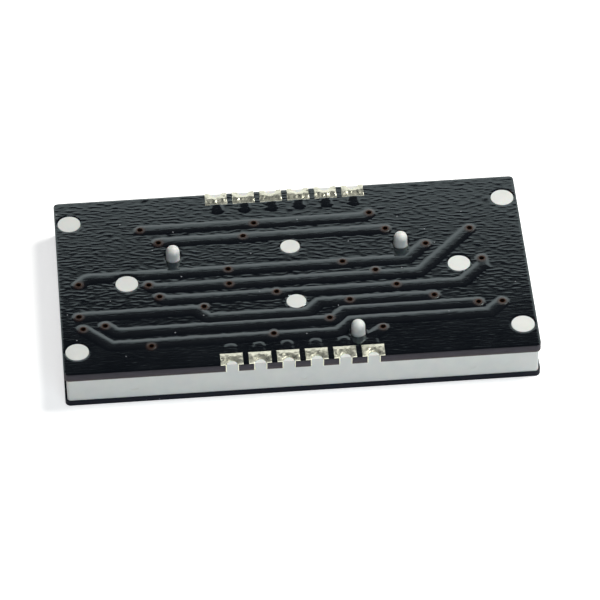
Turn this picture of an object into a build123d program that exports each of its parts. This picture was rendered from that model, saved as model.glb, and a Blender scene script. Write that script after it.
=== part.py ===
from build123d import *

import os
from itertools import pairwise
from math import atan2, copysign, degrees, radians, sqrt, tan

# A thin three-digit seven-segment display for surface mounting, in millimetres.
# It lies face down: the lit face rests on z = 0 and the circuit board is uppermost.
# The origin is the middle of the footprint, X runs along the row of digits and +Z points up out of the back.

# Layers of the stack
board_length = 42.8
board_width = 22.9
board_thickness = 0.8
board_corner_radius = 0.5
housing_height = 2.4
housing_end_inset = 0.2
housing_side_inset = 0.05
housing_corner_radius = 0.3
face_thickness = 0.6

# Digits, as they are read from the face
digit_height = 12.7
digit_width = 7.0
digit_pitch = 10.45
digit_slant = 6
segment_width = 1.5
segment_gap = 0.25
point_diameter = 1.6
point_gap = 0.5
well_taper = 5

# White posts that hold the housing to the board, flush with its back
corner_post_diameter = 2.1
corner_post_end_margin = 1.33
corner_post_side_margin = 2.92
side_post_diameter = 2.05
side_post_gap = 0.2
middle_post_diameter = 1.78
middle_post_offset = 3.67
post_clearance = 0.04

# Round-topped locating pins that stand out of the back, on tapering roots
pin_diameter = 1.25
pin_root_diameter = 1.45
pin_root_rise = 0.1
pin_stand = 1.3

# Round marks that the moulding leaves on one long side of the housing
mould_mark_diameter = 0.8
mould_mark_depth = 0.04

# Solder terminals along the two long edges, and the white keys in their notches
terminal_pitch = 2.54
terminals_per_edge = 6
land_width = 2.05
land_length = 1.5
solder_height = 0.14
solder_rounding = 0.1
tail_width = 1.15
tail_reach = 2.8
key_diameter = 1.0
key_clearance = 0.02
plating_thickness = 0.06

# Copper under the black mask, and the plated holes through the board
copper_height = 0.06
track_width = 1.1
via_pad_diameter = 0.8
via_hole_diameter = 0.46

# Light-emitting chips on the front of the board, with their lands and bond wires
land_height = 0.04
die_land_size = 0.36
bond_land_size = 0.28
chip_size = 0.25
chip_height = 0.12
wire_diameter = 0.05
wire_sides = 6
wire_span = 0.5
wire_rise = 0.06

# Heights and half sizes that follow
board_bottom = face_thickness + housing_height
board_top = board_bottom + board_thickness
half_length = board_length / 2
half_width = board_width / 2
housing_length = board_length - 2 * housing_end_inset
housing_width = board_width - 2 * housing_side_inset
slant_run = tan(radians(digit_slant))

# Posts and pins: where they stand, and how wide the stems are that pass through the board
corner_post_x = half_length - corner_post_end_margin
corner_post_y = half_width - corner_post_side_margin
side_post_x = digit_pitch + digit_width / 2 + side_post_gap + side_post_diameter / 2
pin_y = digit_height / 4
lower_pin_y = -(digit_height / 2 + half_width - land_length) / 2
pins = [(side * digit_pitch - pin_y * slant_run, pin_y) for side in (-1, 1)] + [(digit_pitch / 2, lower_pin_y)]
posts = [(sx * corner_post_x, sy * corner_post_y, corner_post_diameter) for sx in (-1, 1) for sy in (-1, 1)]
posts += [(side * side_post_x, 0, side_post_diameter) for side in (-1, 1)]
posts += [(0, side * middle_post_offset, middle_post_diameter) for side in (-1, 1)]
stems = posts + [(x, y, pin_root_diameter) for x, y in pins]

# The field of tracks reaches just past the side posts, and an end strip lies beyond it
field_reach = side_post_x + (side_post_diameter + via_pad_diameter) / 2
end_strip = half_length - field_reach


def on_board(shares):
    """Places on the back. Across, 1 is the field's reach and 2 the board's end; up, 1 is its long edge."""
    places = []
    for across, up in shares:
        reach = min(abs(across), 1) * field_reach + max(abs(across) - 1, 0) * end_strip
        places.append((copysign(reach, across), up * half_width))
    return places


# Routes of the copper tracks
track_route_shares = [
    [(-0.819, 0.616), (0.422, 0.616), (0.458, 0.659)],
    [(-0.723, 0.459), (0.536, 0.459)],
    [(-1.615, 0.019), (-1.448, 0.087), (0.633, 0.087), (0.747, 0.253)],
    [(-0.795, -0.034), (-0.765, -0.074), (0.693, -0.074), (1.004, 0.402)],
    [(-0.741, -0.177), (-0.711, -0.22), (0.916, -0.22), (1.146, -0.034), (1.146, 0.038)],
    [(-1.646, -0.352), (-0.554, -0.352), (-0.485, -0.454), (0.057, -0.454), (0.127, -0.352), (0.753, -0.352)],
    [(-1.167, -0.472), (-0.988, -0.559), (0.19, -0.559), (0.256, -0.463), (0.988, -0.463)],
    [(-1.583, -0.495), (-1.083, -0.703), (0.208, -0.703), (0.289, -0.585), (1.133, -0.585), (1.406, -0.471)],
    [(0.449, -0.69), (0.383, -0.782)],
]

# Plated holes, row by row from the back edge to the front edge
via_place_shares = [
    (-0.819, 0.62), (-0.187, 0.62), (0.458, 0.659),
    (-0.723, 0.454), (-0.253, 0.475), (0.536, 0.459), (1.004, 0.402),
    (-1.615, 0.019), (-0.353, 0.096), (0.277, 0.102), (0.747, 0.253), (1.146, 0.038),
    (-0.795, -0.034), (-0.355, -0.074), (0.452, -0.019),
    (-0.741, -0.177), (-0.102, -0.2), (0.557, -0.201),
    (-1.646, -0.352), (-0.504, -0.32), (0.291, -0.344), (0.753, -0.352),
    (-1.583, -0.495), (-1.167, -0.472), (0.17, -0.539), (0.988, -0.463), (1.406, -0.471),
    (-0.807, -0.734), (-0.142, -0.677), (0.452, -0.679),
]

# Terminals run along the front edge from left to right, then back along the other edge
key_radius = key_diameter / 2
plating_radius = key_radius + key_clearance
notch_radius = plating_radius + plating_thickness
terminal_x = [(i - (terminals_per_edge - 1) / 2) * terminal_pitch for i in range(terminals_per_edge)]
terminals = [(x, -1) for x in terminal_x] + [(x, 1) for x in reversed(terminal_x)]
notches = [(x, side * half_width) for x, side in terminals]

# Skeleton of a digit: the ends of each segment's middle line, as seen from the face
reach_x = (digit_width - segment_width) / 2
reach_y = (digit_height - segment_width) / 2
segment_ends = {
    "segment_a": ((-reach_x, reach_y), (reach_x, reach_y)),
    "segment_b": ((reach_x, reach_y), (reach_x, 0)),
    "segment_c": ((reach_x, 0), (reach_x, -reach_y)),
    "segment_d": ((-reach_x, -reach_y), (reach_x, -reach_y)),
    "segment_e": ((-reach_x, 0), (-reach_x, -reach_y)),
    "segment_f": ((-reach_x, reach_y), (-reach_x, 0)),
    "segment_g": ((-reach_x, 0), (reach_x, 0)),
}
point_place = ((digit_width + point_diameter) / 2 + point_gap, -(digit_height - point_diameter) / 2)
digit_places = {"digit_1": -digit_pitch, "digit_2": 0, "digit_3": digit_pitch}


def from_face(across, up, digit_across):
    """A point of a slanted digit, seen from the face, as X and Y of the part lying face down."""
    return Vector(-(digit_across + across + up * slant_run), up)


def segment_outline(start, end):
    """Six corners of a segment with pointed ends, before the slant."""
    begin, finish = Vector(*start), Vector(*end)
    along = (finish - begin).normalized()
    side = Vector(-along.Y, along.X) * segment_width / 2
    tip = along * segment_gap / sqrt(2)
    shoulder = tip + along * segment_width / 2
    return [
        begin + tip,
        begin + shoulder + side,
        finish - shoulder + side,
        finish - tip,
        finish - shoulder - side,
        begin + shoulder - side,
    ]


def segment_well(start, end, digit_across):
    """The tapering well of one segment, from the face up to the board."""
    corners = [from_face(p.X, p.Y, digit_across) for p in segment_outline(start, end)]
    with BuildPart() as well:
        with BuildSketch():
            Polygon(*corners, align=None)
        extrude(amount=board_bottom, taper=well_taper)
    return well.part


def point_well(digit_across):
    """The tapering round well of a decimal point."""
    with BuildPart() as well:
        with BuildSketch():
            with Locations(from_face(*point_place, digit_across)):
                Circle(point_diameter / 2)
        extrude(amount=board_bottom, taper=well_taper)
    return well.part


def chip_seat(middle, direction):
    """A plane on the front of the board, facing down into a well, with its X along the segment."""
    return Plane(origin=(middle.X, middle.Y, board_bottom), x_dir=(direction.X, direction.Y, 0), z_dir=(0, 0, -1))


def lands(seat):
    """The two copper lands under a chip and under the far end of its wire."""
    with BuildPart() as pair:
        with BuildSketch(seat):
            with Locations((-wire_span / 2, 0)):
                Rectangle(die_land_size, die_land_size)
            with Locations((wire_span / 2, 0)):
                Rectangle(bond_land_size, bond_land_size)
        extrude(amount=land_height)
    return pair.part


def chip(seat):
    """One light-emitting chip on its land."""
    with BuildPart() as die:
        with BuildSketch(seat.offset(land_height)):
            with Locations((-wire_span / 2, 0)):
                Rectangle(chip_size, chip_size)
        extrude(amount=chip_height)
    return die.part


def bond_wire(seat):
    """The wire that loops from the top of a chip to the land beside it."""
    chip_top = land_height + chip_height
    spring_line = chip_top + wire_rise
    with BuildPart() as wire:
        with BuildLine(seat) as loop:
            Line((-wire_span / 2, 0, chip_top), (-wire_span / 2, 0, spring_line))
            ThreePointArc(
                (-wire_span / 2, 0, spring_line),
                (0, 0, spring_line + wire_span / 2),
                (wire_span / 2, 0, spring_line),
            )
            Line((wire_span / 2, 0, spring_line), (wire_span / 2, 0, land_height))
        with BuildSketch(Plane(origin=loop.line @ 0, z_dir=loop.line % 0)):
            RegularPolygon(wire_diameter / 2, wire_sides)
        sweep()
    return wire.part


# Wells and seats of every light, by digit and segment
wells = {}
seats = {}
for digit, across in digit_places.items():
    for segment, (start, end) in segment_ends.items():
        wells[digit, segment] = segment_well(start, end, across)
        first, last = from_face(*start, across), from_face(*end, across)
        seats[digit, segment] = chip_seat((first + last) / 2, last - first)
    wells[digit, "point"] = point_well(across)
    seats[digit, "point"] = chip_seat(from_face(*point_place, across), Vector(1, 0))

# Every hole and notch of the board
with BuildSketch() as drill_plan:
    for x, y, diameter in stems:
        with Locations((x, y)):
            Circle(diameter / 2 + post_clearance)
    with Locations(*on_board(via_place_shares)):
        Circle(via_hole_diameter / 2 + plating_thickness)
    with Locations(*notches):
        Circle(notch_radius)

# Black circuit board with raised tracks, holes and notches
with BuildPart() as circuit_board:
    with BuildSketch(Plane.XY.offset(board_bottom)):
        RectangleRounded(board_length, board_width, board_corner_radius)
        add(drill_plan.sketch, mode=Mode.SUBTRACT)
    extrude(amount=board_thickness)
    with BuildSketch(Plane.XY.offset(board_top)):
        for route_shares in track_route_shares:
            for begin, finish in pairwise(on_board(route_shares)):
                run = Vector(*finish) - Vector(*begin)
                with Locations((Vector(*begin) + Vector(*finish)) / 2):
                    SlotCenterToCenter(run.length, track_width, rotation=degrees(atan2(run.Y, run.X)))
        with Locations(*on_board(via_place_shares)):
            Circle(via_pad_diameter / 2)
        for x, side in terminals:
            tail_middle = tail_reach - tail_width / 2
            with Locations((x, side * (half_width - tail_middle))):
                Circle(tail_width / 2)
            with Locations((x, side * (half_width - (land_length + tail_middle) / 2))):
                Rectangle(tail_width, tail_middle - land_length)
        add(drill_plan.sketch, mode=Mode.SUBTRACT)
    extrude(amount=copper_height)
    add([lands(seat) for seat in seats.values()])

# Copper barrels of the plated holes
with BuildPart() as via_barrels:
    with BuildSketch(Plane.XY.offset(board_bottom)):
        with Locations(*on_board(via_place_shares)):
            Circle(via_hole_diameter / 2 + plating_thickness)
            Circle(via_hole_diameter / 2, mode=Mode.SUBTRACT)
    extrude(amount=board_thickness + copper_height)


def terminal(x, side):
    """One tinned terminal: a land on the back and the half-round plating down its notch."""
    edge = Plane(origin=(x, side * half_width, board_top), x_dir=(-side, 0, 0), z_dir=(0, 0, 1))
    with BuildPart() as tinned:
        with BuildSketch(edge):
            Rectangle(land_width, land_length, align=(Align.CENTER, Align.MIN))
            Circle(plating_radius, mode=Mode.SUBTRACT)
        extrude(amount=solder_height)
        fillet(tinned.faces().sort_by(Axis.Z)[-1].edges(), radius=solder_rounding)
        with BuildSketch(edge.offset(-board_thickness)):
            Circle(notch_radius)
            Circle(plating_radius, mode=Mode.SUBTRACT)
            Rectangle(land_width, land_length, align=(Align.CENTER, Align.MIN), mode=Mode.INTERSECT)
        extrude(amount=board_thickness)
    return tinned.part


# White housing with its wells, posts, keys and pins
with BuildPart() as reflector_housing:
    with BuildSketch(Plane.XY.offset(face_thickness)):
        RectangleRounded(housing_length, housing_width, housing_corner_radius)
    extrude(amount=housing_height)
    with BuildSketch(Plane.XY.offset(board_bottom)):
        for x, y, diameter in posts:
            with Locations((x, y)):
                Circle(diameter / 2)
    extrude(amount=board_thickness)
    with BuildSketch(Plane.XY.offset(board_bottom)):
        with Locations(*notches):
            Circle(key_radius)
        Rectangle(housing_length, housing_width, mode=Mode.INTERSECT)
    extrude(amount=board_thickness)
    root_height = board_thickness + pin_root_rise
    root_top = board_bottom + root_height
    dome_middle = board_top + pin_stand - pin_diameter / 2
    with Locations(*[(x, y, board_bottom) for x, y in pins]):
        Cone(pin_root_diameter / 2, pin_diameter / 2, root_height, align=(Align.CENTER, Align.CENTER, Align.MIN))
    with BuildSketch(Plane.XY.offset(root_top)):
        with Locations(*pins):
            Circle(pin_diameter / 2)
    extrude(amount=dome_middle - root_top)
    with Locations(*[(x, y, dome_middle) for x, y in pins]):
        Sphere(pin_diameter / 2)
    mark_height = face_thickness + housing_height / 2
    with BuildSketch(Plane(origin=(0, -housing_width / 2, mark_height), x_dir=(1, 0, 0), z_dir=(0, -1, 0))):
        with Locations((-side_post_x, 0), (0, 0), (side_post_x, 0)):
            Circle(mould_mark_diameter / 2)
    extrude(amount=-mould_mark_depth, mode=Mode.SUBTRACT)
    add(wells.values(), mode=Mode.SUBTRACT)

# Black face with a window over each well
with BuildPart() as face_plate:
    with BuildSketch():
        RectangleRounded(board_length, board_width, board_corner_radius)
    extrude(amount=face_thickness)
    add(wells.values(), mode=Mode.SUBTRACT)

pieces = {
    "circuit_board": circuit_board.part,
    "via_barrels": via_barrels.part,
    "reflector_housing": reflector_housing.part,
    "face_plate": face_plate.part,
}
for number, (x, side) in enumerate(terminals, start=1):
    pieces[f"terminal_{number}"] = terminal(x, side)

# Chips and wires of each digit, and the milky resin cast round them in every well
for digit in digit_places:
    digit_seats = {light: seat for (owner, light), seat in seats.items() if owner == digit}
    with BuildPart() as chips:
        add([chip(seat) for seat in digit_seats.values()])
    with BuildPart() as wires:
        add([bond_wire(seat) for seat in digit_seats.values()])
    pieces[f"{digit}_chips"] = chips.part
    pieces[f"{digit}_bond_wires"] = wires.part
    for light, seat in digit_seats.items():
        with BuildPart() as light_guide:
            add(wells[digit, light])
            add([lands(seat), chip(seat), bond_wire(seat)], mode=Mode.SUBTRACT)
        pieces[f"{digit}_{light}"] = light_guide.part

os.makedirs("parts", exist_ok=True)
for name, piece in pieces.items():
    piece.label = name
    export_step(piece, f"parts/{name}.step")
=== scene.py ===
# %% [markdown]
# This lesson dresses a thin seven-segment display that lies on its lit face, with the back of its circuit
# board uppermost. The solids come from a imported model, which stays exactly where it is. Everything below
# is added around it in the same frame, in metres.

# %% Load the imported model
import math

import bpy
import numpy as np
from mathutils import Matrix, Vector, noise
from mathutils.bvhtree import BVHTree
from mathutils.geometry import delaunay_2d_cdt
from mathutils.kdtree import KDTree


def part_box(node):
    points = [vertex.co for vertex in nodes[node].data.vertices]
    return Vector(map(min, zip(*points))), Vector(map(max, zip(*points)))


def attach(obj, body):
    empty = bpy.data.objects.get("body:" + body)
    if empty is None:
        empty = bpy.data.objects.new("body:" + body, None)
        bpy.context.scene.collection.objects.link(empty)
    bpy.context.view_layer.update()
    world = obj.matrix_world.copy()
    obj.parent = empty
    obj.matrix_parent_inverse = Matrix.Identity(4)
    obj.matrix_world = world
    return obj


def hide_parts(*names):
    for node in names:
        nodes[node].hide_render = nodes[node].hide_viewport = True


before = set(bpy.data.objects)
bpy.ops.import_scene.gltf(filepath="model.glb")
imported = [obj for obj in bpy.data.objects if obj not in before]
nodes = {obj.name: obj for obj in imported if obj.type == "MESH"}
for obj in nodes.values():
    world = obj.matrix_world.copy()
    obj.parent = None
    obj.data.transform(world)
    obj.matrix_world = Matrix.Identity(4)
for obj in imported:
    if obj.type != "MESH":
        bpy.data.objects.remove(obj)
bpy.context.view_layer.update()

MM = 0.001


# %% [markdown]
# The parts are millimetres in size, so lengths are easier to read in millimetres. One helper reads a
# solid's mesh as plain arrays. It welds corners that share a place, because an imported mesh often splits
# them for its shading. The board's corners then tell its levels: the highest is the top of the copper,
# and the next one down is the top of the board itself.

# %% Read a solid as arrays
weld_digits, level_digits = 4, 3


def welded(node):
    """Corners in millimetres, and triangles, of one solid with its doubled corners joined."""
    mesh = nodes[node].data
    mesh.calc_loop_triangles()
    corners = np.empty(3 * len(mesh.vertices))
    mesh.vertices.foreach_get("co", corners)
    triangles = np.empty(3 * len(mesh.loop_triangles), dtype=np.int32)
    mesh.loop_triangles.foreach_get("vertices", triangles)
    rounded = np.round(corners.reshape(-1, 3) / MM, weld_digits)
    points, place = np.unique(rounded, axis=0, return_inverse=True)
    return points, place.ravel()[triangles].reshape(-1, 3)


board_points, board_triangles = welded("circuit_board")
barrels_low, barrels_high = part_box("via_barrels")
board_bottom = barrels_low.z / MM
copper_top = barrels_high.z / MM
board_top = sorted(set(np.round(board_points[:, 2], level_digits)))[-2]
copper_height = copper_top - board_top
print("board from", round(board_bottom, 2), "to", board_top, "mm")
print("copper", round(copper_height, 3), "mm high")

# %% [markdown]
# The upper side of the board is black lacquer over copper. On the real one the lacquer flows over the
# copper tracks, so that they read as soft humps and not as sharp steps. A bevel on the solid can't give
# that, so the upper side is made again as a fine sheet. Its edge has to meet the solid's underside, so
# first come the outlines of the underside: the board's own outline with its notches, and one loop for
# each hole. They consist of the triangle sides that no second triangle shares.

# %% Outlines of the underside
level_margin = 0.001


def border_edges(triangles):
    """The sides that only one triangle has, as pairs of corners in that triangle's order."""
    sides = np.concatenate([triangles[:, [0, 1]], triangles[:, [1, 2]], triangles[:, [2, 0]]])
    known = set(map(tuple, sides))
    return [(a, b) for a, b in known if (b, a) not in known]


def walk_loops(edges):
    """The closed loops of a list of directed edges."""
    left, loops = dict(edges), []
    while left:
        loop, here = [], min(left)
        while here in left:
            loop.append(here)
            here = left.pop(here)
        loops.append(loop)
    return loops


corner_levels = board_points[board_triangles][:, :, 2]
underside = board_triangles[(corner_levels < board_bottom + level_margin).all(axis=1)]
loops = walk_loops(border_edges(underside))
outline = max(loops, key=lambda loop: np.ptp(board_points[loop, 0]))
print("outline corners:", len(outline), "holes:", len(loops) - 1)

# %% [markdown]
# The small holes are plated and join the copper on both sides of the board. The larger ones let the
# housing's posts and pins through. Lacquer behaves differently at the two kinds, so the radius sorts
# them.

# %% Plated holes and post holes
via_limit = 0.4
holes = []
for loop in loops:
    if loop is not outline:
        ring = board_points[loop, :2]
        middle = (ring.max(axis=0) + ring.min(axis=0)) / 2
        holes.append((middle, np.hypot(*(ring - middle).T).mean()))
vias = [(middle, radius) for middle, radius in holes if radius < via_limit]
stems = [(middle, radius) for middle, radius in holes if radius >= via_limit]
print("plated holes:", len(vias), "post and pin holes:", len(stems))

# %% [markdown]
# The sheet needs even, small triangles and clean round holes. A Delaunay triangulation gives both: it
# takes the outlines as fixed edges and fills the inside from a grid of points. Long straight outlines get
# extra points first, so that no sliver reaches across the board.

# %% Points along the rims
column_step, row_step = 0.135, 0.085
rim_points, rim_owner, rim_runs, rim_next = [], [], [], {}
for number, loop in enumerate(loops):
    first = len(rim_points)
    for a, b in zip(loop, loop[1:] + loop[:1]):
        begin, end = board_points[a, :2], board_points[b, :2]
        count = max(1, round(np.hypot(*(end - begin)) / column_step))
        rim_runs.append((a, b, len(rim_points), count))
        for k in range(count):
            rim_points.append(begin + (end - begin) * k / count)
            rim_owner.append(number)
    own = list(range(first, len(rim_points)))
    rim_next.update(zip(own, own[1:] + own[:1]))
rim_points = np.array(rim_points)
print("rim points:", len(rim_points))

# %% [markdown]
# Between the rims lies a grid. It is finer across the board than along it, because the ripples of the
# lacquer run along the board. Round each plated hole, rings of points take the grid's place, so that the
# collar there comes out round.

# %% Grid and rings of points
ring_gaps, ring_turns = (0.06, 0.12, 0.19, 0.27), 18
half_length, half_width = board_points[:, 0].max(), board_points[:, 1].max()
columns = np.arange(-half_length + column_step / 2, half_length, column_step)
rows = np.arange(-half_width + row_step / 2, half_width, row_step)
wanted = np.array([(x, y) for y in rows for x in columns])
for middle, radius in vias:
    wanted = wanted[np.hypot(*(wanted - middle).T) > radius + ring_gaps[-1] + row_step / 2]
turns = 2 * np.pi * np.arange(ring_turns) / ring_turns
circle = np.stack([np.cos(turns), np.sin(turns)], axis=1)
rings = [middle + (radius + gap) * circle for middle, radius in vias for gap in ring_gaps]
wanted = np.concatenate([wanted, *rings])
print("points in the grid and the rings:", len(wanted))

# %% [markdown]
# Not every point of the grid can stay. Those close to a rim would make slivers, and a search tree finds
# them. A ray from above tells, for the others, whether the board is below them and at what level: points
# in a hole or a notch hit nothing near the board's top.

# %% Points over the board
keep_off_share, clear_above = 0.6, 1


def flat_tree(points):
    """A tree that finds the nearest of some points in the plane."""
    tree = KDTree(len(points))
    for i, (x, y) in enumerate(points):
        tree.insert((x, y, 0), i)
    tree.balance()
    return tree


near_rim = flat_tree(rim_points)
solid_board = BVHTree.FromPolygons([tuple(p) for p in board_points], [tuple(t) for t in board_triangles])
above = copper_top + clear_above
grid_points, grid_levels = [], []
for x, y in wanted:
    if near_rim.find((x, y, 0))[2] < keep_off_share * row_step:
        continue
    hit = solid_board.ray_cast((x, y, above), (0, 0, -1))[0]
    if hit is not None and hit.z > board_top - copper_height:
        grid_points.append((x, y))
        grid_levels.append(hit.z)
print("inner points:", len(grid_points))

# %% [markdown]
# The triangulation covers the whole convex hull of its points, holes and notches too. A triangle with all
# three corners on the rim of one hole lies in that hole and is dropped. One with all three on the board's
# outline may lie in a notch, so it is kept only if its middle is inside the outline.

# %% Triangles of the lacquer sheet
whole_hull, same_place = 0, 1e-6
flat_points = [Vector(p) for p in rim_points] + [Vector(p) for p in grid_points]
made_points, _, made_faces, origins, _, _ = delaunay_2d_cdt(
    flat_points, list(rim_next.items()), [], whole_hull, same_place,
)
sheet_points = np.array([tuple(p) for p in made_points])
sheet_x, sheet_y = sheet_points.T
origin_of = [group[0] for group in origins]
outer_ring = [tuple(board_points[i, :2]) for i in outline]
outer_number = loops.index(outline)


def inside_outline(x, y):
    """Even-odd test against the board's outline."""
    inside = False
    for (x0, y0), (x1, y1) in zip(outer_ring, outer_ring[1:] + outer_ring[:1]):
        if (y0 > y) != (y1 > y) and x < x0 + (y - y0) / (y1 - y0) * (x1 - x0):
            inside = not inside
    return inside


sheet_triangles = []
for corners in made_faces:
    owners = {rim_owner[origin_of[i]] if origin_of[i] < len(rim_points) else None for i in corners}
    if len(owners) == 1 and None not in owners:
        if owners != {outer_number} or not inside_outline(*sheet_points[list(corners)].mean(axis=0)):
            continue
    sheet_triangles.append(tuple(corners))
print("sheet triangles:", len(sheet_triangles))

# %% [markdown]
# Along both long edges lie the terminals' lands, which no lacquer covers. All twelve are alike, so one of
# them gives the sizes of the land, of the plating in its notch and of the tin on top. Short tails of
# copper run in from the lands under the lacquer.

# %% Measure one land
land_points, _ = welded("terminal_1")
land_middle = (land_points[:, 0].max() + land_points[:, 0].min()) / 2
from_notch = np.hypot(land_points[:, 0] - land_middle, np.abs(land_points[:, 1]) - half_width)
plating_inner = from_notch.min()
plating_outer = from_notch[land_points[:, 2] < board_top - level_margin].max()
land_half = np.ptp(land_points[:, 0]) / 2
land_depth = half_width - np.abs(land_points[:, 1]).min()
land_end = half_width - land_depth
solder_height = land_points[:, 2].max() - board_top
print("land", round(2 * land_half, 2), "by", round(land_depth, 2), "mm")
print("tin up to", round(solder_height, 2), "mm high")

# %% [markdown]
# Now the sheet gets its height. The solid says where copper lies, and the distance to the copper's edge
# will turn its steps into humps. A nearest-point search is a quick way to that distance, so the edges
# become rows of close points. The rims of holes are left out, and so are the borders along the lands,
# where tin hides the step.

# %% Edges of the copper
edge_step, land_margin = 0.04, 0.01
hole_rims = {tuple(np.round(p, level_digits)) for p in rim_points}
edge_points = []
copper_triangles = board_triangles[(corner_levels > copper_top - level_margin).all(axis=1)]
for a, b in border_edges(copper_triangles):
    begin, end = board_points[a, :2], board_points[b, :2]
    on_hole = all(tuple(np.round(p, level_digits)) in hole_rims for p in (begin, end))
    at_land = min(abs(begin[1]), abs(end[1])) > land_end - land_margin
    if not on_hole and not at_land:
        count = max(1, int(np.hypot(*(end - begin)) / edge_step))
        edge_points += [begin + (end - begin) * k / count for k in range(count)]
copper_edge = flat_tree(edge_points)
print("points along the copper's edges:", len(edge_points))

# %% [markdown]
# Each point of the sheet gets a depth: its distance to the copper's edge, above zero over copper and
# below zero beside it. A little noise makes the edges waver, so that no hump is ruled. The glass cloth of
# the board shows through the lacquer as fine ripples. They are noise too, drawn out along the board and
# bent by a slower noise. Each noise takes its own slice, so that the three don't follow each other.

# %% Depth over the copper, and the ripples
waver, waver_length, waver_slice = 0.07, 0.55, 9
ripple_along, ripple_across, ripple_slice = 0.7, 0.18, 0
bend_reach, bend_along, bend_across, bend_slice = 0.1, 1.1, 2.5, 3
depth = np.zeros(len(sheet_points))
ripple = np.zeros(len(sheet_points))
for i, (x, y) in enumerate(sheet_points):
    source = origin_of[i] - len(rim_points)
    level = grid_levels[source] if source >= 0 else solid_board.find_nearest((x, y, above))[0].z
    distance = copper_edge.find((x, y, 0))[2]
    depth[i] = distance if level > board_top + copper_height / 2 else -distance
    depth[i] += waver * noise.noise((x / waver_length, y / waver_length, waver_slice))
    bend = bend_reach * noise.noise((x / bend_along, y / bend_across, bend_slice))
    ripple[i] = noise.noise((x / ripple_along, (y + bend) / ripple_across, ripple_slice))
print("deepest point inside the copper:", round(depth.max(), 2), "mm")

# %% [markdown]
# The depth becomes a share of the copper's height. A half cosine wave rises from a little outside the
# edge to a little inside it, and a low crown goes on rising towards the middle of the copper, because a
# coat that has flowed is never quite flat. The tails at the lands rise in their own way: those of the
# front row are low all along, and those of the back row start at full height and sink away from the land.

# %% Humps over the copper
outer_run, inner_run = 0.1, 0.17
crown_start, crown_run, crown_share = 0.08, 0.4, 0.15
tail_outer_run, tail_inner_run = 0.05, 0.2
tail_start, tail_full, tail_length = 8.3, 8.8, 1.3
back_tail_fall, front_tail_loss = 0.6, 0.62


def smooth(t):
    """A half cosine wave from 0 to 1."""
    return 0.5 - 0.5 * np.cos(np.pi * np.clip(t, 0, 1))


def crown(t):
    """A rise from 0 to 1 that is steepest at its foot and levels out at its top."""
    return 1 - (1 - np.clip(t, 0, 1)) ** 2


to_tail = smooth((np.abs(sheet_y) - tail_start) / (tail_full - tail_start))
outer = outer_run + (tail_outer_run - outer_run) * to_tail
inner = inner_run + (tail_inner_run - inner_run) * to_tail
cover = (1 - crown_share) * smooth((depth + outer) / (outer + inner))
cover += crown_share * crown((depth - crown_start) / crown_run)
fall = np.clip((land_end - sheet_y) / tail_length, 0, 1) * (sheet_y > tail_start)
cover *= 1 - to_tail * np.where(sheet_y > 0, back_tail_fall * fall, front_tail_loss)
print("greatest share of the copper's height:", round(float(cover.max()), 2))

# %% [markdown]
# The ripples come on top where no copper lies, which is why bare parts of such a board glitter while its
# tracks stay calm. They are weaker towards the front. The lacquer also forms a low collar at each plated
# hole, sinks a little round the white posts and thins out at the board's edge. Nothing rises above the
# solid's copper, so the dressed board keeps to the solid's height.

# %% Ripples, collars and grooves
ripple_height, ripple_loss = 0.0122, 0.9
calm_from, calm_to, calm_share = -2.5, -6.5, 0.15
collar_reach, collar_height = 0.28, 0.045
stain_core, stain_fade = 0.14, 0.18
groove_reach, groove_depth = 0.1, 0.012
edge_reach, edge_drop = 0.12, 0.03
calm = 1 - (1 - calm_share) * smooth((sheet_y - calm_from) / (calm_to - calm_from))
heights = copper_height * cover + ripple_height * calm * ripple * (1 - ripple_loss * cover)
hole_rim = np.zeros(len(sheet_points))
for middle, radius in vias:
    away = np.hypot(*(sheet_points - middle).T) - radius
    heights = np.maximum(heights, collar_height * (1 - smooth(away / collar_reach)))
    hole_rim = np.maximum(hole_rim, 1 - smooth((away - stain_core) / stain_fade))
for middle, radius in stems:
    away = np.hypot(*(sheet_points - middle).T) - radius
    heights -= groove_depth * (1 - smooth(away / groove_reach))
from_edge = np.minimum(half_length - np.abs(sheet_x), half_width - np.abs(sheet_y))
heights -= edge_drop * (1 - smooth(from_edge / edge_reach))
heights = np.minimum(heights, copper_height)
print("lacquer from", round(heights.min(), 3), "to", round(heights.max(), 3), "mm")

# %% [markdown]
# The board is one closed mesh: the solid's own underside with its small lands, walls up from every
# outline, and the sheet on top. The three are listed as faces one after the other, so that their places
# in the list tell them apart later.

# %% Points and faces of the dressed board
low_numbers = {}
for i in underside.ravel():
    low_numbers.setdefault(int(i), len(low_numbers))
points = [board_points[i] for i in low_numbers]
base = len(points)
points += [(x, y, board_top + h) for (x, y), h in zip(sheet_points, heights)]
place_of = {origin: base + i for i, origin in enumerate(origin_of)}
faces = [[low_numbers[int(i)] for i in t] for t in underside]
wall_start = len(faces)
for a, b, first, count in rim_runs:
    ring = [first + k for k in range(count)]
    ring.append(rim_next[ring[-1]])
    faces.append([low_numbers[b], low_numbers[a]] + [place_of[i] for i in ring])
sheet_start = len(faces)
faces += [[base + i for i in t] for t in sheet_triangles]
print("underside faces:", wall_start, "wall faces:", sheet_start - wall_start)

# %% [markdown]
# The walls take a second material, because a cut board shows its glass laminate there. Two attributes
# keep what the lacquer's material will need: how near a plated hole is, and how much copper lies below.
# The finished board stands for the solid, which stays hidden in the frame.

# %% Build the dressed board
board_sharp = 35


def new_piece(name, points, faces, *materials):
    """A mesh object from points in millimetres."""
    mesh = bpy.data.meshes.new(name)
    mesh.from_pydata([tuple(np.array(p) * MM) for p in points], [], faces)
    piece = bpy.data.objects.new(name, mesh)
    bpy.context.scene.collection.objects.link(piece)
    for material in materials:
        mesh.materials.append(material)
    return piece


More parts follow.
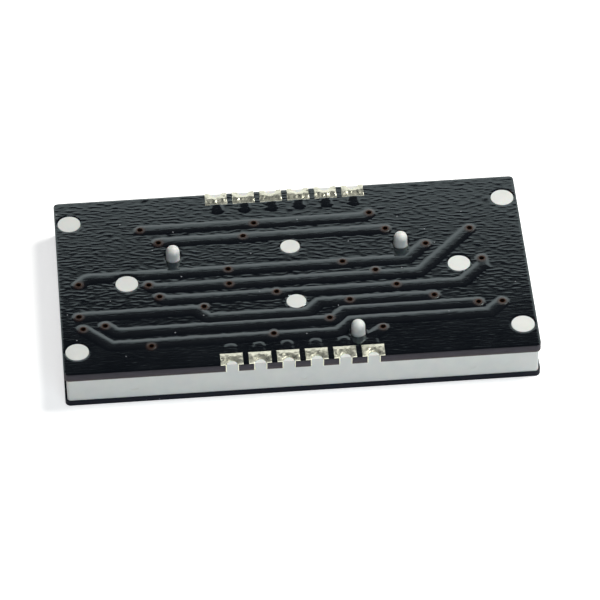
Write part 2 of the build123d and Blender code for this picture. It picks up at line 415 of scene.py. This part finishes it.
def shade_smooth(piece, sharp_degrees):
    """Smooth shading, but for the edges where two faces meet at more than an angle."""
    for polygon in piece.data.polygons:
        polygon.use_smooth = True
    piece.data.set_sharp_from_angle(angle=math.radians(sharp_degrees))


board = new_piece("lacquered_board", points, faces)
for polygon in board.data.polygons:
    polygon.material_index = 1 if wall_start <= polygon.index < sheet_start else 0
for label, values in (("hole_rim", hole_rim), ("copper_below", cover)):
    attribute = board.data.attributes.new(label, "FLOAT", "POINT")
    attribute.data.foreach_set("value", np.concatenate([np.zeros(base), values]).astype(np.float32))
shade_smooth(board, board_sharp)
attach(board, "root")
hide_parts("circuit_board")
print("board faces:", len(board.data.polygons))

# %% [markdown]
# Materials are small node trees round one principled shader. Two helpers keep each recipe short: one
# makes the material and sets what is the same all over it on the shader's own sockets, and the other adds
# a node and wires it up. The black lacquer comes first. It is very glossy, with reflections that lean to
# blue.

# %% Start the black lacquer


def finish(name, **sockets):
    """A material with one principled shader, its uniform values set on the shader's own sockets."""
    material = bpy.data.materials.new(name)
    material.use_nodes = True
    shader = material.node_tree.nodes["Principled BSDF"]
    for socket, value in sockets.items():
        shader.inputs[socket.replace("_", " ")].default_value = value
    return material, material.node_tree, shader


def add_node(tree, kind, inputs=None, **settings):
    """One node, with values or links for its inputs."""
    node = tree.nodes.new("ShaderNode" + kind)
    for setting, value in settings.items():
        setattr(node, setting, value)
    for socket, value in (inputs or {}).items():
        if isinstance(value, bpy.types.NodeSocket):
            tree.links.new(value, node.inputs[socket])
        else:
            node.inputs[socket].default_value = value
    return node


lacquer, tree, shader = finish("black_lacquer", IOR=1.8, Specular_Tint=(0.8, 0.98, 1.0, 1))
print("started", lacquer.name, "with", len(tree.nodes), "nodes")

# %% [markdown]
# All textures use object coordinates scaled to millimetres, so that a scale of 2 means two features in
# each millimetre. The lacquer has a fine grain, drawn out along the board, and wide patches that make it
# uneven. A few specks of dust come from a flat Voronoi texture, which measures the distance to scattered
# points. The mesh's own attributes say where the plated holes and the copper are.

# %% Textures of the lacquer


def in_millimetres(tree, stretch=(1, 1, 1)):
    """Object coordinates in millimetres, stretched along the axes."""
    place = add_node(tree, "TexCoord").outputs["Object"]
    scale = [s / MM for s in stretch]
    return add_node(tree, "Mapping", {"Vector": place, "Scale": scale}).outputs["Vector"]


def cloudy(tree, scale, detail, stretch=(1, 1, 1), distortion=0.0):
    """Noise with so many features in each millimetre."""
    place = in_millimetres(tree, stretch)
    inputs = {"Vector": place, "Scale": scale, "Detail": detail, "Distortion": distortion}
    return add_node(tree, "TexNoise", inputs).outputs["Fac"]


def scattered(tree, scale, dimensions="3D"):
    """The distance to the nearest of some scattered points, so many to the millimetre."""
    inputs = {"Vector": in_millimetres(tree), "Scale": scale}
    return add_node(tree, "TexVoronoi", inputs, voronoi_dimensions=dimensions).outputs["Distance"]


grain = cloudy(tree, scale=1.0, detail=2.0, stretch=(0.9, 4.5, 1), distortion=0.3)
patches = cloudy(tree, scale=0.35, detail=2.0)
dust = scattered(tree, scale=0.16, dimensions="2D")
near_hole = add_node(tree, "Attribute", attribute_name="hole_rim").outputs["Fac"]
over_copper = add_node(tree, "Attribute", attribute_name="copper_below").outputs["Fac"]
print("lacquer nodes with textures:", len(tree.nodes))

# %% [markdown]
# The colours are laid over each other like thin coats. The black itself changes a little from patch to
# patch. Over copper it is a shade lighter, and at the plated holes the copper shines through as brown.
# The dust lies on top, where the distance to a scattered point is nearly nothing.

# %% Colour of the lacquer
deep_black, soft_black = (0.002, 0.0025, 0.004), (0.0035, 0.0042, 0.006)
copper_shade, copper_brown = (0.0068, 0.0076, 0.0095), (0.026, 0.012, 0.009)
dust_grey = (0.3, 0.31, 0.33)


def ramp(tree, value, stops):
    """A colour ramp through (position, colour) stops."""
    node = add_node(tree, "ValToRGB", {"Fac": value})
    elements = node.color_ramp.elements
    while len(elements) < len(stops):
        elements.new(0.5)
    for element, (position, colour) in zip(elements, stops):
        element.position = position
        element.color = (*colour, 1)
    return node.outputs["Color"]


def coat(tree, share, below, colour):
    """One colour laid over what is below it, by a share from 0 to 1."""
    return add_node(tree, "Mix", {0: share, 6: below, 7: (*colour, 1)}, data_type="RGBA").outputs[2]


black = ramp(tree, patches, [(0.35, deep_black), (0.65, soft_black)])
specks = ramp(tree, dust, [(0.006, (1, 1, 1)), (0.012, (0, 0, 0))])
black = coat(tree, over_copper, black, copper_shade)
black = coat(tree, near_hole, black, copper_brown)
black = coat(tree, specks, black, dust_grey)
tree.links.new(black, shader.inputs["Base Color"])
print("lacquer nodes with colours:", len(tree.nodes))

# %% [markdown]
# Roughness follows the patches, and the rims of the plated holes are duller than the rest. The ripples
# are in the mesh already. The grain is finer still, so bump does for it.

# %% Gloss and grain of the lacquer
rim_dullness = 0.2


def spread(tree, value, low, high):
    """A texture's 0 to 1 spread over a smaller range."""
    return add_node(tree, "MapRange", {"Value": value, "To Min": low, "To Max": high}).outputs["Result"]


def add_bump(tree, shader, height, strength, reach):
    """Bump from a texture, with its reach in millimetres."""
    bump = add_node(tree, "Bump", {"Height": height, "Strength": strength, "Distance": reach * MM})
    tree.links.new(bump.outputs["Normal"], shader.inputs["Normal"])


roughness = add_node(tree, "Math", {
    0: near_hole, 1: rim_dullness, 2: spread(tree, patches, 0.05, 0.1),
}, operation="MULTIPLY_ADD").outputs[0]
tree.links.new(roughness, shader.inputs["Roughness"])
add_bump(tree, shader, grain, strength=1.0, reach=0.003)
board.data.materials.append(lacquer)
print("finished", lacquer.name, "with", len(tree.nodes), "nodes")

# %% [markdown]
# The cut side of the board shows grey laminate, darker towards the lacquer at its top, and browner and
# lighter in a thin band at its foot. The change with height comes from the object's own Z through a colour
# ramp. Noise that is squeezed in height gives the layers of glass.

# %% Cut laminate
# The lowest stop is a lighter brown for the thin band at the foot of the cut side.
brown_foot, grey_foot = (0.16, 0.11, 0.09), (0.07, 0.06, 0.07)
grey_side, dark_lip = (0.05, 0.045, 0.06), (0.012, 0.012, 0.016)
laminate, tree, shader = finish("cut_laminate", Roughness=0.65, Specular_IOR_Level=0.3)
layers = cloudy(tree, scale=1.0, detail=4.0, stretch=(0.8, 0.8, 9))
height = add_node(tree, "SeparateXYZ", {"Vector": in_millimetres(tree)}).outputs["Z"]
share = add_node(tree, "MapRange", {
    "Value": height, "From Min": board_bottom, "From Max": board_top,
}).outputs["Result"]
stain = ramp(tree, share, [(0.0, brown_foot), (0.13, grey_foot), (0.7, grey_side), (1.0, dark_lip)])
shadow = ramp(tree, layers, [(0.3, (0.55, 0.55, 0.55)), (0.7, (1, 1, 1))])
layered = add_node(tree, "Mix", {0: 1.0, 6: stain, 7: shadow}, data_type="RGBA", blend_type="MULTIPLY")
tree.links.new(layered.outputs[2], shader.inputs["Base Color"])
add_bump(tree, shader, layers, strength=0.6, reach=0.02)
board.data.materials.append(laminate)
print("board materials:", [m.name for m in board.data.materials])

# %% [markdown]
# Each terminal is a land with a lump of tin on it, and plating down its half-round notch. Tin that has
# melted and set has no flat faces: it thins at its borders and its skin is wavy. So the height of the tin
# is a product of shares: one for each border, one for the rise to a crest, and one for waves that differ
# from lump to lump. In the front row the crest lies near the inner end of the land, and in the back row
# nearer its middle.

# %% Height of the tin
side_fade, side_lip = 0.07, 0.4
notch_fade, notch_lip = 1.0, 0.5
front_crest, back_crest = 0.72, 0.45
crest_wander, crest_wave, crest_slice = 0.14, 0.28, 0.5
wave_length, wave_share, wave_middle = 0.3, 0.2, 0.5
outer_share, thinnest = 0.75, 0.006


def tin_height(u, v, gap, crest_share, seed):
    """Height at u across, v in from the board's edge and gap away from the notch."""
    wobble = noise.noise((u / wave_length, v / wave_length, seed))
    crest = land_depth * (crest_share + crest_wander * noise.noise((u / crest_wave, seed, crest_slice)))
    inner = smooth((land_depth - v) / (land_depth - crest))
    sides = smooth((land_half - abs(u)) / side_fade + side_lip)
    notch = smooth(gap / notch_fade + notch_lip)
    rise = outer_share + (1 - outer_share) * min(1, v / crest)
    waves = 1 - wave_share * (wave_middle + wobble)
    return max(thinnest, solder_height * inner * sides * notch * rise * waves)


half_depth = land_depth / 2
middle_height = tin_height(0, half_depth, half_depth - plating_inner, back_crest, 0)
print("tin in the middle of a land of the back row:", round(float(middle_height), 3), "mm high")

# %% [markdown]
# One lump is a small grid of points, bent round the notch, with a flat grid below it and a border that
# joins the two. Quads do for such a grid, because its rows all have the same number of points.

# %% Shape of one lump of tin
across_steps, along_steps = 40, 24


def tin_lump(middle_x, side, seed):
    """Points and faces of one lump, on the side of the board where y has that sign."""
    crest_share = back_crest if side > 0 else front_crest
    points, faces = [], []
    for layer in ("top", "bottom"):
        for share in np.linspace(-1, 1, across_steps + 1):
            u = land_half * share
            start = math.sqrt(max(0, plating_inner ** 2 - u ** 2))
            for k in range(along_steps + 1):
                v = start + (land_depth - start) * k / along_steps
                gap = math.hypot(u, v) - plating_inner
                lift = tin_height(u, v, gap, crest_share, seed) if layer == "top" else 0
                points.append((middle_x + u, side * (half_width - v), board_top + lift))
    stride = along_steps + 1
    sheet = (across_steps + 1) * stride
    for i in range(across_steps):
        for k in range(along_steps):
            here, there = i * stride + k, (i + 1) * stride + k
            quad = [here, there, there + 1, here + 1]
            faces.append(quad)
            faces.append([sheet + q for q in reversed(quad)])
    border = [i * stride for i in range(across_steps + 1)]
    border += [across_steps * stride + k for k in range(1, stride)]
    border += [i * stride + along_steps for i in reversed(range(across_steps))]
    border += reversed(range(1, along_steps))
    faces += [[b, a, sheet + a, sheet + b] for a, b in zip(border, border[1:] + border[:1])]
    return points, faces


lump_points, lump_faces = tin_lump(0, -1, 0)
print("one lump:", len(lump_points), "points and", len(lump_faces), "faces")

# %% [markdown]
# The plating is a thin half tube down the notch. It and the lump are two closed shells of one piece,
# because on the real board both are one skin of metal.

# %% Shape of the plating and of one terminal
plating_steps = 24
tube_sides = ((0, 1), (1, 3), (3, 2), (2, 0))
tube_start, tube_end = (2, 3, 1, 0), (0, 1, 3, 2)


def notch_plating(middle_x, side, first):
    """Points and faces of the half tube in one notch, with its points numbered from first."""
    points, faces = [], []
    for k in range(plating_steps + 1):
        angle = math.pi * k / plating_steps
        for radius in (plating_inner, plating_outer):
            for z in (board_bottom, board_top):
                x = middle_x + radius * math.cos(angle)
                points.append((x, side * (half_width - radius * math.sin(angle)), z))
    corners = len(tube_sides)
    for k in range(plating_steps):
        here, there = first + corners * k, first + corners * (k + 1)
        faces += [[here + a, here + b, there + b, there + a] for a, b in tube_sides]
    faces.append([first + i for i in tube_start])
    faces.append([first + corners * plating_steps + i for i in tube_end])
    return points, faces


def tinned_land(name, seed):
    """Points and faces of one terminal. On the back row, a mirror image, the faces are turned over."""
    low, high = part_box(name)
    middle_x = (low.x + high.x) / (2 * MM)
    side = 1 if low.y > 0 else -1
    points, faces = tin_lump(middle_x, side, seed)
    plating_points, plating_faces = notch_plating(middle_x, side, len(points))
    faces += plating_faces
    if side > 0:
        faces = [face[::-1] for face in faces]
    return points + plating_points, faces


terminals = sorted(name for name in nodes if name.startswith("terminal_"))
print("terminals to make:", len(terminals))

# %% [markdown]
# Tin is a grey metal, a little yellow where flux has dried on it. Its roughness changes over the lump,
# and a fine grain breaks the reflections up. All terminals share the finish, and each lump has waves of
# its own.

# %% Tin
tin_sharp, seed_step = 50, 11.3
tin, tree, shader = finish("bright_tin", Metallic=1.0)
blotches = cloudy(tree, scale=2.4, detail=3.0)
metal = ramp(tree, blotches, [(0.3, (0.7, 0.71, 0.57)), (0.7, (0.86, 0.85, 0.7))])
tree.links.new(metal, shader.inputs["Base Color"])
tree.links.new(spread(tree, blotches, 0.22, 0.36), shader.inputs["Roughness"])
add_bump(tree, shader, cloudy(tree, scale=9.0, detail=3.0), strength=0.8, reach=0.01)

for number, name in enumerate(terminals):
    lump = new_piece("tinned_" + name, *tinned_land(name, seed_step * number), tin)
    shade_smooth(lump, tin_sharp)
    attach(lump, "root")
    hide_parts(name)
print("tinned lands:", len(terminals), "faces each:", len(lump.data.polygons))

# %% [markdown]
# The housing is one white moulding: its side shows all round, and its posts, pins and keys come up
# through the board. The solid's shape is right, so it stays and gets a satin white with a faint mottle,
# as filled plastic has. A little light passes under its skin.

# %% White moulding
white, tree, shader = finish("white_moulding", Subsurface_Weight=0.12, Subsurface_Scale=0.4 * MM)
mottle = cloudy(tree, scale=0.7, detail=4.0)
plastic = ramp(tree, mottle, [(0.3, (0.76, 0.77, 0.75)), (0.7, (0.82, 0.82, 0.79))])
tree.links.new(plastic, shader.inputs["Base Color"])
tree.links.new(spread(tree, mottle, 0.38, 0.52), shader.inputs["Roughness"])
add_bump(tree, shader, cloudy(tree, scale=14.0, detail=2.0), strength=0.3, reach=0.01)


def dress(node, material):
    """Gives a carried-over solid its finish."""
    mesh = nodes[node].data
    mesh.materials.clear()
    mesh.materials.append(material)


dress("reflector_housing", white)
print("dressed the housing in", white.name)

# %% [markdown]
# The face is a thin black layer. Black shows every speck of dust, so a few pale specks are scattered over
# it by a Voronoi texture that is cut off close to its cell centres. A fine noise gives it a matt skin.

# %% Black face
black_face, tree, shader = finish("black_face", Roughness=0.55, Specular_IOR_Level=0.12)
speck_grey, face_black = (0.2, 0.2, 0.22), (0.003, 0.0045, 0.011)
speckled = ramp(tree, scattered(tree, scale=0.9), [(0.045, speck_grey), (0.075, face_black)])
tree.links.new(speckled, shader.inputs["Base Color"])
add_bump(tree, shader, cloudy(tree, scale=5.0, detail=4.0), strength=0.4, reach=0.01)
dress("face_plate", black_face)
print("dressed the face in", black_face.name)

# %% [markdown]
# Inside the wells lie milky resin and the chips. They show little, but each has its own finish: the resin
# is cloudy and lets light under its skin, and a chip has a bright contact on a dark body.

# %% Resin and chips
resin, tree, shader = finish("milky_resin", Roughness=0.3, Subsurface_Weight=0.3, Subsurface_Scale=0.8 * MM)
cloud = cloudy(tree, scale=1.4, detail=4.0)
milk = ramp(tree, cloud, [(0.3, (0.74, 0.72, 0.65)), (0.7, (0.83, 0.82, 0.77))])
tree.links.new(milk, shader.inputs["Base Color"])

chip, tree, shader = finish("chip_crystal", Roughness=0.25)
crystal = ramp(tree, scattered(tree, scale=7.0), [(0.3, (0.45, 0.36, 0.2)), (0.4, (0.12, 0.1, 0.09))])
tree.links.new(crystal, shader.inputs["Base Color"])
print("made", resin.name, "and", chip.name)

# %% [markdown]
# Fine gold wires join the chips to the board, and copper lines the plated holes. Both metals are mottled,
# the copper dull from the heat of soldering. The names of the solids say which finish each one takes.

# %% Gold and copper


def mottled_metal(name, dark, light, rough_low, rough_high):
    """A metal whose colour and roughness wander a little."""
    material, tree, shader = finish(name, Metallic=1.0)
    mottle = cloudy(tree, scale=3.0, detail=3.0)
    tree.links.new(ramp(tree, mottle, [(0.3, dark), (0.7, light)]), shader.inputs["Base Color"])
    tree.links.new(spread(tree, mottle, rough_low, rough_high), shader.inputs["Roughness"])
    return material


gold = mottled_metal("gold_wire", (0.75, 0.52, 0.2), (0.9, 0.68, 0.32), 0.15, 0.3)
copper = mottled_metal("dull_copper", (0.05, 0.026, 0.018), (0.1, 0.055, 0.038), 0.45, 0.6)
dress("via_barrels", copper)
for name in nodes:
    if name.endswith("_chips"):
        dress(name, chip)
    elif name.endswith("_bond_wires"):
        dress(name, gold)
    elif name.startswith("digit_"):
        dress(name, resin)
print("finishes:", len(bpy.data.materials))

# %% [markdown]
# The stage is a white floor with a round white screen on it, all round the display. Both glow for the
# camera and in reflections, so that they turn white while the soft shadow stays, and the glow itself
# throws no light on the object. The screen matters most for the board: glossy black shows whatever stands
# opposite the camera, and here that is the screen's upper rim with the dark room above it. Ripples and
# the far sides of humps lean enough to catch the screen, their near sides mirror the room, and that draws
# the tracks.

# %% Paper that glows
screen_height = 653
paper_white = (0.9, 0.9, 0.9, 1)


def joined(tree, operation, first, second):
    """Two values joined by one step of arithmetic."""
    return add_node(tree, "Math", {0: first, 1: second}, operation=operation).outputs[0]


def paper(name, glow, fade):
    """White paper that glows for the camera, and in reflections by (share of the height, glow) stops."""
    material, tree, shader = finish(
        name, Base_Color=paper_white, Roughness=0.9, Specular_IOR_Level=0.1, Emission_Color=(1, 1, 1, 1),
    )
    path = add_node(tree, "LightPath").outputs
    height = add_node(tree, "SeparateXYZ", {"Vector": in_millimetres(tree)}).outputs["Z"]
    share = joined(tree, "DIVIDE", height, screen_height)
    graded = ramp(tree, share, [(stop, (level, level, level)) for stop, level in fade])
    mirrored = joined(tree, "MAXIMUM", path["Is Glossy Ray"], path["Is Transmission Ray"])
    in_mirror = joined(tree, "MULTIPLY", mirrored, graded)
    direct = joined(tree, "MULTIPLY", path["Is Camera Ray"], glow)
    tree.links.new(joined(tree, "MAXIMUM", direct, in_mirror), shader.inputs["Emission Strength"])
    return material


floor_glow, screen_glow = 0.65, 1.0
screen_fade = [(0.62, 1.0), (0.8, 0.95), (0.94, 0.8), (1.0, 0.04)]
floor_paper = paper("floor_paper", floor_glow, [(0, floor_glow), (1, floor_glow)])
screen_paper = paper("screen_paper", screen_glow, screen_fade)
print("papers:", floor_paper.name, screen_paper.name)

# %% [markdown]
# The floor is one square a hair below the display, and the screen is a ring of walls. In reflections the
# screen is bright nearly all the way up and fades to dark at its rim, so that the board meets the room's
# darkness without a hard line.

# %% Floor and screen
floor_half, floor_level = 750, -0.02
screen_radius, screen_sides = 700, 96
square = ((-1, -1), (1, -1), (1, 1), (-1, 1))
floor_points = [(floor_half * x, floor_half * y, floor_level) for x, y in square]
floor = new_piece("floor", floor_points, [[0, 1, 2, 3]], floor_paper)
ring = []
for k in range(screen_sides):
    angle = 2 * math.pi * k / screen_sides
    for z in (0, screen_height):
        ring.append((screen_radius * math.cos(angle), screen_radius * math.sin(angle), z))
count = len(ring)
walls = [[i, i + 1, (i + 3) % count, (i + 2) % count] for i in range(0, count, 2)]
screen = new_piece("screen", ring, walls, screen_paper)
print("floor", 2 * floor_half, "mm wide, screen", screen_height, "mm high")

# %% [markdown]
# The room above the screen is nearly dark. A world of one dim colour does for it.

# %% World
room_colour = (0.03, 0.033, 0.042, 1)
world = bpy.data.worlds.new("dark_room")
bpy.context.scene.world = world
world.use_nodes = True
world.node_tree.nodes["Background"].inputs["Color"].default_value = room_colour
print("world:", world.name)

# %% [markdown]
# One soft lamp stands high on the right, a little behind. It lights the posts and the right side of the
# pins. A weaker, bluer one near the camera fills the long front side, which also gets what the floor
# throws back. A wide, faint panel hangs above the camera: it adds hardly any light, but seen from above
# the slopes of the tracks mirror it as fine lines.

# %% Lamps


def soft_lamp(name, place, size, energy, colour):
    """A round area lamp that points at the display."""
    data = bpy.data.lights.new(name, "AREA")
    data.shape = "DISK"
    data.size = size
    data.energy = energy
    data.color = colour
    lamp = bpy.data.objects.new(name, data)
    bpy.context.scene.collection.objects.link(lamp)
    lamp.location = place
    lamp.rotation_mode = "QUATERNION"
    lamp.rotation_quaternion = lamp.location.to_track_quat("Z", "Y")
    return lamp


lamps = [
    soft_lamp("key_lamp", (0.12, 0.045, 0.21), size=0.1, energy=0.53, colour=(1.0, 0.99, 0.94)),
    soft_lamp("fill_lamp", (0.12, -0.29, 0.15), size=0.2, energy=0.25, colour=(0.78, 0.92, 1.0)),
    soft_lamp("high_panel", (0.02, -0.25, 0.45), size=0.28, energy=0.14, colour=(0.95, 0.98, 1.0)),
]
print("lamps:", [lamp.name for lamp in lamps])

# %% [markdown]
# The camera stands where the photograph was taken from: nearly in front of the long side, looking down at
# about forty degrees, with a long lens. Sliding the camera in its own plane frames the object without any
# lens shift.

# %% Place of the camera
camera_azimuth, camera_elevation, camera_roll = -3.93, 43.23, -0.934
focal_pixels, image_pixels = 4600, 600
pixels_per_mm = 10.981
centre_x, centre_y = 293.2, 273.43
azimuth, elevation, roll = (math.radians(a) for a in (camera_azimuth, camera_elevation, camera_roll))
level = math.cos(elevation)
back = Vector((math.sin(azimuth) * level, -math.cos(azimuth) * level, math.sin(elevation)))
right = Vector((math.cos(azimuth), math.sin(azimuth), 0))
up = back.cross(right)
right, up = right * math.cos(roll) + up * math.sin(roll), up * math.cos(roll) - right * math.sin(roll)
slide_right = (image_pixels / 2 - centre_x) / pixels_per_mm
slide_down = (image_pixels / 2 - centre_y) / pixels_per_mm
spot = Vector((0, 0, board_top)) + back * focal_pixels / pixels_per_mm
spot = spot + right * slide_right - up * slide_down
print("camera", round(spot.length), "mm away from the middle of the floor")

# %% [markdown]
# A camera in Blender looks along its own negative Z, with Y up. So the three directions become the
# columns of its matrix, and its place is the last column.

# %% Camera
sensor_width, clip_near, clip_far = 36, 0.01, 10
camera_data = bpy.data.cameras.new("camera")
camera_data.sensor_width = sensor_width
camera_data.lens = sensor_width * focal_pixels / image_pixels
camera_data.clip_start = clip_near
camera_data.clip_end = clip_far
camera = bpy.data.objects.new("camera", camera_data)
bpy.context.scene.collection.objects.link(camera)
camera.matrix_world = Matrix((
    (right.x, up.x, back.x, spot.x * MM),
    (right.y, up.y, back.y, spot.y * MM),
    (right.z, up.z, back.z, spot.z * MM),
    (0, 0, 0, 1),
))
bpy.context.scene.camera = camera
bpy.context.scene.view_settings.view_transform = "Standard"
print("camera", [round(c, 4) for c in camera.location], "lens", camera_data.lens)
